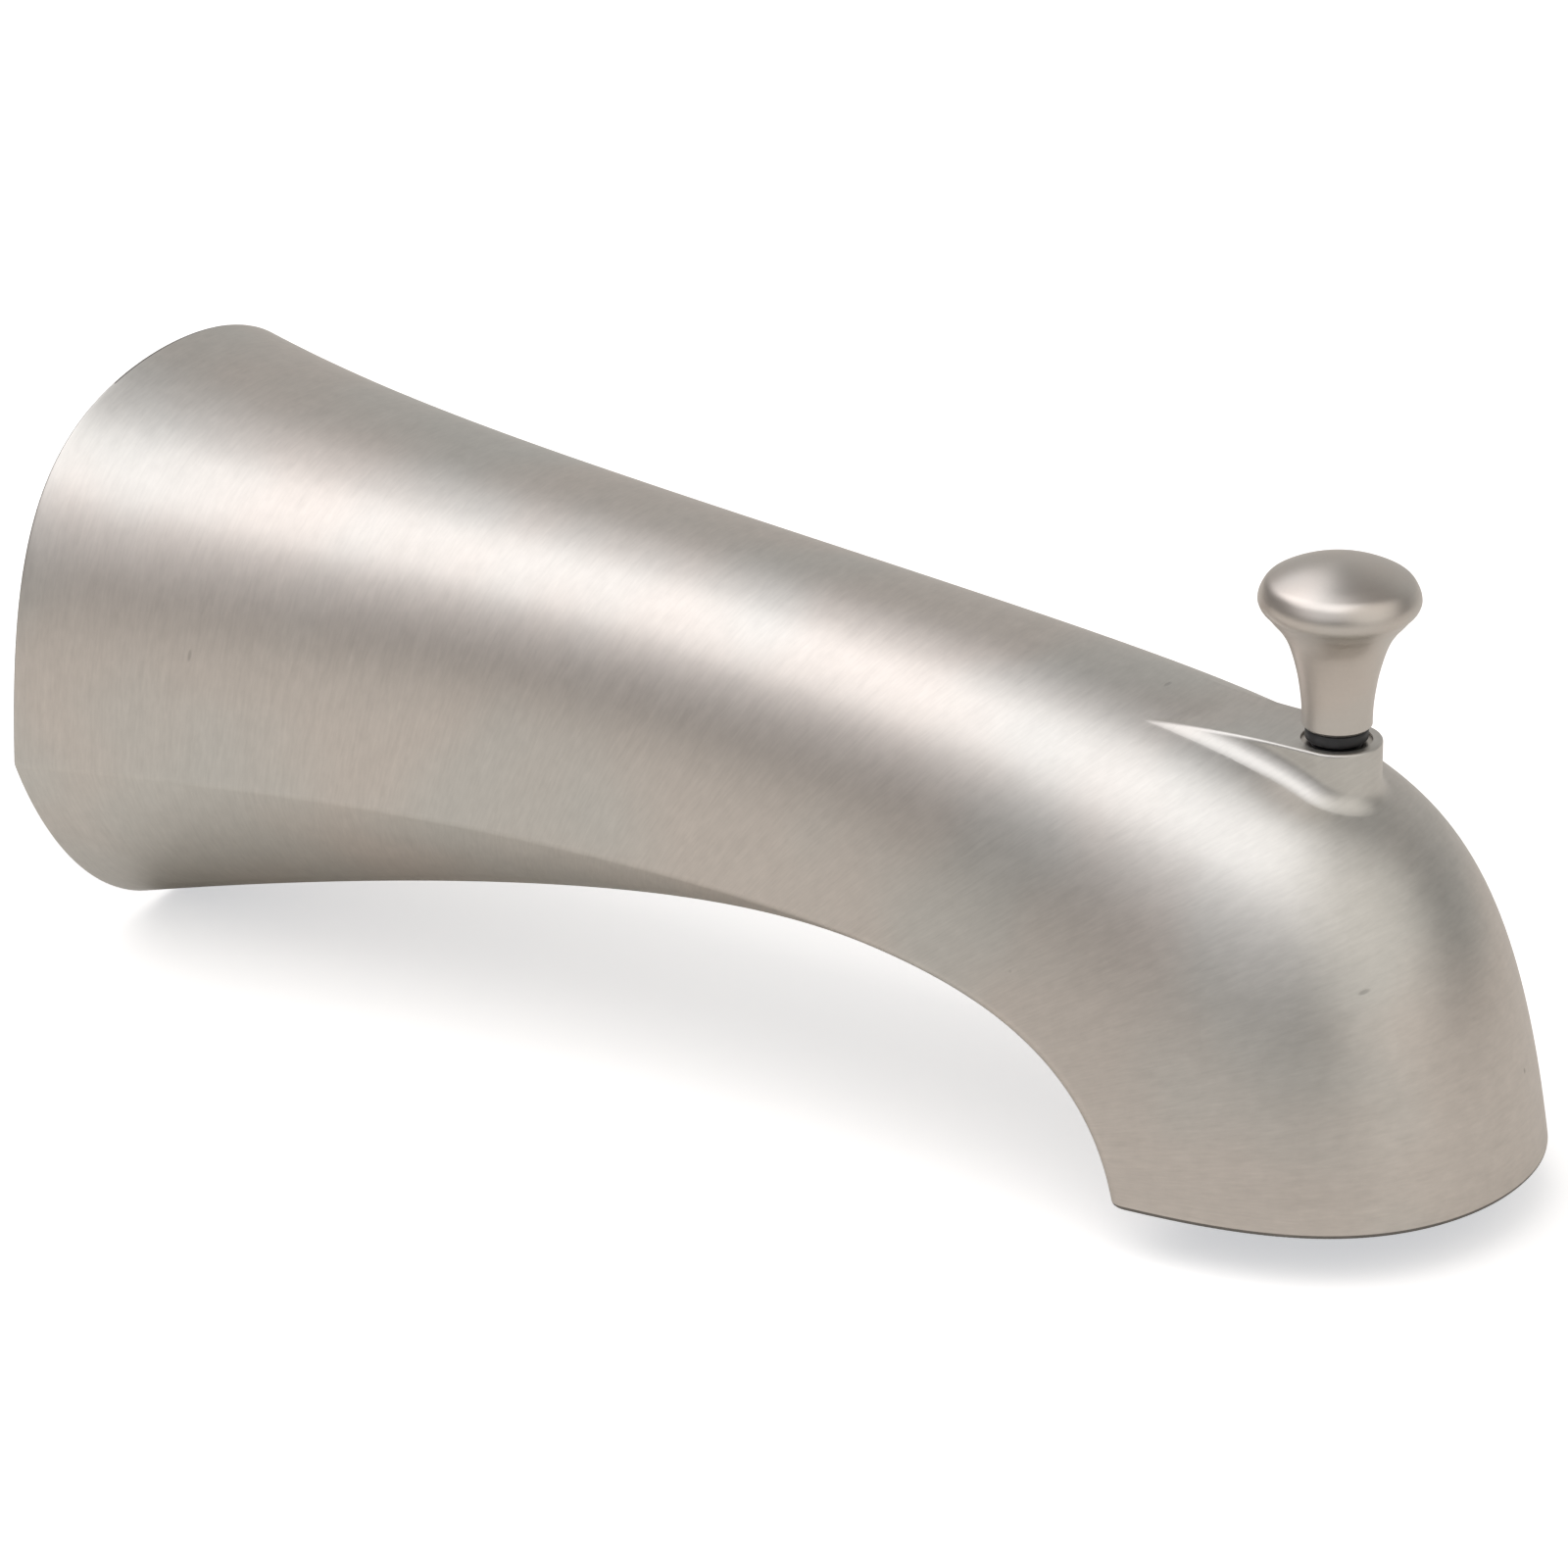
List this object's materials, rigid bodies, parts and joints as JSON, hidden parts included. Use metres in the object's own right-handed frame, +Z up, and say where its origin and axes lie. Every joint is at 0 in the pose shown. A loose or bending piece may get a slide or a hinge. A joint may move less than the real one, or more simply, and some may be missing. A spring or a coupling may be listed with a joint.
{
  "type": "bath spout",
  "caption": "Slip-fit bath spout with a flared wall end, a turned-down D-shaped outlet and a pull-up diverter knob, in satin nickel.",
  "frame": {"origin": "on the axis of the supply pipe, in the plane of the finished wall that the flared end closes against", "axes": "+X from the wall along the pipe to the nose, +Z up, y = 0 is the plane of symmetry"},
  "size_m": [0.1594, 0.057, 0.0655],
  "materials": {
    "satin_nickel": "satin, brushed round the spout",
    "brass": "machined",
    "steel": "machined",
    "rubber": "matt",
    "acetal": "matt"
  },
  "bodies": {
    "spout": {"spout_body": "satin_nickel", "pipe_adapter": "brass", "pipe_seal_rear": "rubber", "pipe_seal_front": "rubber", "adapter_seal": "rubber", "set_screw": "steel", "stem_bushing": "brass", "stem_seal": "rubber", "knob_seat_ring": "rubber"},
    "diverter": {"diverter_knob": "satin_nickel", "diverter_stem": "steel", "diverter_gate": "acetal", "gate_washer": "rubber"}
  },
  "joints": [
    {"name": "diverter_lift", "type": "slide", "parent": "spout", "child": "diverter", "axis": [0, 0, 1], "range_m": [0, 0.0115]}
  ]
}
